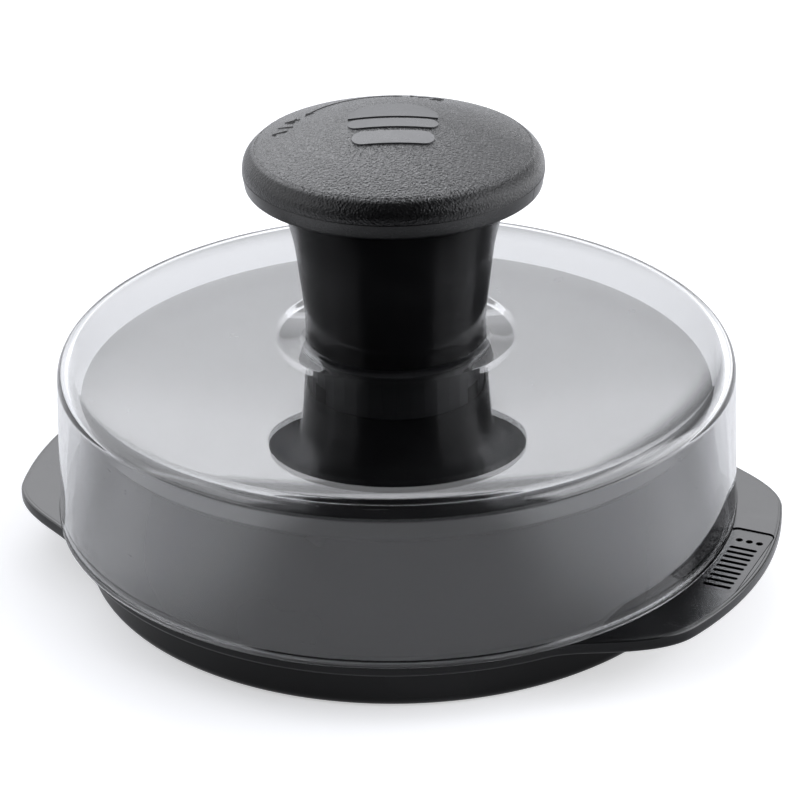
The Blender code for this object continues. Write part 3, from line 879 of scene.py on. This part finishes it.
def build_plain_mark():
    """Raised mark in the middle of the crown: three stacked bars, the back one domed."""
    width, height, y_mid = 18.4, 8.6, 5.2
    loops = [[(width / 2 * math.cos(t), y_mid - height / 2 + height * math.sin(t) ** 0.9)
              for t in np.linspace(0.0, math.pi, 40)]]
    for y_mid, width, height, radius in ((-2.3, 18.4, 4.2, 2.05), (-8.8, 16.6, 5.2, 2.4)):
        bar = rounded_rect(-width / 2, width / 2, -height / 2, height / 2, radius, 8)
        loops.append([(x, y_mid + y) for x, y in bar])
    mark = prism("plain_mark", loops, crown(20.0) - 4.0, APEX_Z + 3.0)
    shell = crown_shell(MARK_LIFT, MARK_SINK, np.linspace(0.6, MARK_R, 36),
                        [MARK_R, *np.linspace(17.0, 1.0, 24)])
    apply_boolean(mark, revolve("mark_shell", shell, 192), "INTERSECT")
    paint(mark, MARK_MAT)
    bevel = mark.modifiers.new("edge", "BEVEL")
    bevel.width = 0.09 * MM
    bevel.segments = 2
    bevel.limit_method = "ANGLE"
    bevel.angle_limit = math.radians(50)
    place(mark, "knob", "cap_black")


build_ink()
build_plain_mark()

# ------------------------------------------------------------------ pieces kept from the CAD
for node_name, material in (
        ("guide_sleeve", SLEEVE_MAT), ("cam_spindle", CAM_MAT), ("thrust_washer", WASHER_MAT),
        ("knob_washer", STEEL_MAT), ("knob_screw", STEEL_MAT), ("cam_pin_1", STEEL_MAT),
        ("cam_pin_2", STEEL_MAT), ("cam_pin_3", STEEL_MAT)):
    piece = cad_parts[node_name]
    if not piece.data.materials:
        piece.data.materials.append(material)
    for slot in piece.material_slots:
        slot.material = material

# ------------------------------------------------------------------ floor, in metres
FLOOR_HALF, FLOOR_COUNT = 3.0, 25
FRONT_SHADE_SPAN = (-0.34, -0.13)   # y: seen indirectly, the paper is painted dark in front of the set, a painted shade that the front faces mirror


def floor_material():
    material, net, bsdf = start_material("floor_paper")
    coord = net.coords()
    floor_x, floor_y, _ = net.axes(coord)
    direct = net.light_path()["Is Camera Ray"]
    path = net.light_path()
    glossy, transmitted = path["Is Glossy Ray"], path["Is Transmission Ray"]
    paper = net.mix(net.noise(coord, scale=3.0), (0.735, 0.74, 0.76), (0.755, 0.76, 0.78))

    # in reflections the paper's front part is brighter to the left and right
    side = net.ramp(net.math("ABSOLUTE", floor_x), (0.06, 0.115), to=(1.0, 1.9))
    in_front = net.ramp(floor_y, (-0.045, 0.0), to=(1.0, 0.0))
    side = net.add(net.mul(side, in_front), net.mul(net.inverse(in_front), 1.0))
    lit = net.add(1.0, net.mul(glossy, net.math("SUBTRACT", side, 1.0)))
    # and so is the paper beside the set, when mirrored through the clear wall
    beside = net.mul(net.ramp(net.math("ABSOLUTE", floor_x), (0.065, 0.092)),
                     net.ramp(floor_y, (-0.045, -0.012)))
    mirrored = net.mul(transmitted, net.more(path["Glossy Depth"], 0.5))
    lit = net.add(lit, net.mul(net.mul(mirrored, beside), 0.8))
    # the clear cover shows the paper darker
    through = net.add(1.0, net.mul(transmitted, -0.59))
    # painted shade: to indirect rays the paper fades to black in front of the set
    indirect = net.mul(net.mul(net.ramp(floor_y, FRONT_SHADE_SPAN), through), lit)
    seen = net.math("MAXIMUM", direct, net.weaken_trapped(indirect, path))
    grey = net.node("ShaderNodeCombineColor")
    for socket in grey.inputs:
        net.put(socket, seen)

    # own light, a painted glow: to the camera it rises from left to right, which paints the shadow
    # lighter on the right and darker on the left; a little more goes to reflections and the clear
    # cover
    far_right = net.ramp(floor_x, (0.2, 0.34), to=(0.0, 1.6))
    glossy_glow = net.mul(glossy, net.add(net.mul(side, 0.15), far_right))
    glow = net.add(glossy_glow, net.mul(transmitted, 0.05))
    glow = net.mul(net.mul(glow, net.inverse(direct)), net.ramp(floor_y, FRONT_SHADE_SPAN))
    # painted shade and light: the camera glow is 0.42 on the left and 0.55 on the right
    camera_glow = net.mul(direct, net.ramp(floor_x, (-0.07, 0.07), to=(0.42, 0.55)))
    net.fill(bsdf, {
        "Base Color": net.mix(1.0, paper, grey.outputs[0], blend="MULTIPLY"),
        "Roughness": 0.85, "Specular IOR Level": 0.0,
        "Emission Color": (1.0, 1.0, 1.0, 1.0),
        "Emission Strength": net.add(camera_glow, glow)})
    net.finish(bsdf.outputs[0])
    return material


def build_floor():
    count = FLOOR_COUNT
    ticks = np.linspace(-FLOOR_HALF, FLOOR_HALF, count)
    verts = [(x, y, 0.0) for y in ticks for x in ticks]
    faces = [(j * count + i, j * count + i + 1, (j + 1) * count + i + 1, (j + 1) * count + i)
             for j in range(count - 1) for i in range(count - 1)]
    make("floor", verts, faces, floor_material())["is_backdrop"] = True


build_floor()

# ------------------------------------------------------------------ soft studio surround
# (elevation in degrees, brightness) for three sectors of the sky
MIDDLE = [                    # behind the object: a dark gap with a thin strip above it
    (0, 0.75), (3, 0.6), (7.5, 0.95), (12.5, 1.35), (17.5, 1.5), (22.5, 1.68), (27.5, 2.35),
    (32.5, 3.2), (37.5, 3.7), (42.5, 4.1), (47.6, 4.5), (48.8, 2.1), (53.4, 1.9), (54.2, 4.6),
    (57, 4.6), (58.2, 0.0), (90, 0.0)]
LEFT = [
    (0, 1.6), (15, 1.75), (35, 1.75), (45, 1.9), (64, 1.75), (68, 1.4), (72, 0.9), (76, 0.0),
    (90, 0.0)]
RIGHT = [
    (0, 1.4), (4, 1.7), (12.5, 2.0), (17, 1.5), (21, 0.9), (24, 0.3), (28, 0.2), (33, 0.5),
    (38, 0.8), (45, 1.0), (55, 1.2), (63, 1.2), (68, 0.85), (73, 0.35), (76, 0.0), (90, 0.0)]
LEFT_SEAM, RIGHT_SEAM = (-31, -19), (16.5, 22.5)      # azimuths where the sectors blend
LEFT_END, RIGHT_END = (-104, -92), (90, 100)
CURVE_TOP = 6.0               # brightness at the top of the curve nodes
FALLING = (1.0, 0.0)
SOFTBOXES = [                 # elevations, azimuths, softness of each, brightness low to high
    ((3, 50), (-132, -92), 3, 5, (1.5, 2.4)),
    ((0, 47.5), (68, 130), 3.5, 4, (2.6, 4.2)),
    ((36, 47.5), (59, 68), 2.0, 3, (2.6, 3.0))]
AMBIENT = 0.03
BACKDROP_CLEAR = 0.68         # the surround seen through the clear cover
BACKDROP_DIRECT = 1.08        # the surround seen by the camera


def build_world():
    world = bpy.data.worlds.new("studio")
    bpy.context.scene.world = world
    net = Shader(world)
    dir_x, dir_y, dir_z = net.axes(net.node("ShaderNodeTexCoord").outputs["Generated"])
    elevation = net.mul(net.math("ARCSINE", dir_z), 180 / math.pi)
    # 0 at the back, positive to the right
    azimuth = net.mul(net.math("ARCTAN2", dir_x, dir_y), 180 / math.pi)

    def window(value, span, soft):
        low, high = span
        return net.mul(net.ramp(value, (low - soft, low + soft)),
                       net.ramp(value, (high - soft, high + soft), to=FALLING))

    def softbox(elevations, azimuths, soft_elevation, soft_azimuth, brightness):
        shape = net.mul(window(elevation, elevations, soft_elevation),
                        window(azimuth, azimuths, soft_azimuth))
        return net.mul(shape, net.ramp(elevation, elevations, to=brightness, kind="LINEAR"))

    def sweep(stations):
        """Brightness against elevation, as straight runs."""
        node = net.node("ShaderNodeFloatCurve")
        points = node.mapping.curves[0].points
        spots = [(degrees / 90, value / CURVE_TOP) for degrees, value in stations]
        points[0].location = spots[0]
        points[1].location = spots[-1]
        for spot in spots[1:-1]:
            points.new(*spot)
        for point in points:
            point.handle_type = "VECTOR"
        node.mapping.update()
        height = net.math("DIVIDE", net.math("MAXIMUM", elevation, 0.0), 90.0)
        net.put(node.inputs["Value"], height)
        return net.mul(node.outputs[0], CURVE_TOP)

    def swap(light, mask, level):
        """Replaces the light by an even level where the mask is 1."""
        return net.add(net.mul(light, net.inverse(mask)), net.mul(mask, level))

    middle_on = net.mul(net.ramp(azimuth, LEFT_SEAM), net.ramp(azimuth, RIGHT_SEAM, to=FALLING))
    left_on = net.mul(net.ramp(azimuth, LEFT_SEAM, to=FALLING), net.ramp(azimuth, LEFT_END))
    right_on = net.mul(net.ramp(azimuth, RIGHT_SEAM), net.ramp(azimuth, RIGHT_END, to=FALLING))
    # the middle is a little brighter on its left
    lean = net.ramp(azimuth, (-20, 16), to=(1.04, 0.95))
    total = net.mul(net.mul(sweep(MIDDLE), middle_on), lean)
    total = net.add(total, net.mul(sweep(LEFT), left_on))
    total = net.add(total, net.mul(sweep(RIGHT), right_on))
    for box in SOFTBOXES:
        total = net.add(total, softbox(*box))
    total = net.add(total, AMBIENT)

    path = net.light_path()
    unmirrored = net.mul(path["Is Transmission Ray"], net.less(path["Glossy Depth"], 0.5))
    total = net.weaken_trapped(total, path)
    total = swap(total, unmirrored, BACKDROP_CLEAR)
    total = swap(total, path["Is Camera Ray"], BACKDROP_DIRECT)
    background = net.node("ShaderNodeBackground",
                          {"Strength": total, "Color": (0.955, 0.965, 1.0, 1.0)})
    net.finish(background.outputs[0], "ShaderNodeOutputWorld")


build_world()

# ------------------------------------------------------------------ camera, in metres
CAMERA_PLACE = (0.0, -0.580, 0.32555)
PITCH_DOWN, ROLL, YAW = (math.radians(angle) for angle in (26.621, -0.813, 0.064))


def build_camera():
    data = bpy.data.cameras.new("camera")
    data.sensor_width = 36.0
    data.lens = 137.53
    data.clip_start = 0.01
    camera = link_object("camera", data)
    forward = Vector((math.sin(YAW) * math.cos(PITCH_DOWN), math.cos(YAW) * math.cos(PITCH_DOWN),
                      -math.sin(PITCH_DOWN)))
    right = Vector((math.cos(YAW), -math.sin(YAW), 0.0))
    up = right.cross(forward)
    rolled_right = math.cos(ROLL) * right + math.sin(ROLL) * up
    rolled_up = -math.sin(ROLL) * right + math.cos(ROLL) * up
    rotation = Matrix((rolled_right, rolled_up, -forward)).transposed().to_4x4()
    camera.matrix_world = Matrix.Translation(CAMERA_PLACE) @ rotation
    bpy.context.scene.camera = camera


build_camera()

view = bpy.context.scene.view_settings
view.view_transform = "Standard"
view.look = "None"
view.exposure = 0.0

# ------------------------------------------------------------------ sizes
bpy.context.view_layer.update()
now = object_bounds()


def plain(box):
    """Plain floats from either a pair of corners or a flat list."""
    if hasattr(box[0], "__len__"):
        return [[float(c) for c in corner] for corner in box]
    return [float(c) for c in box]


{"cad": plain(CAD_BOX), "visual": plain(now)}
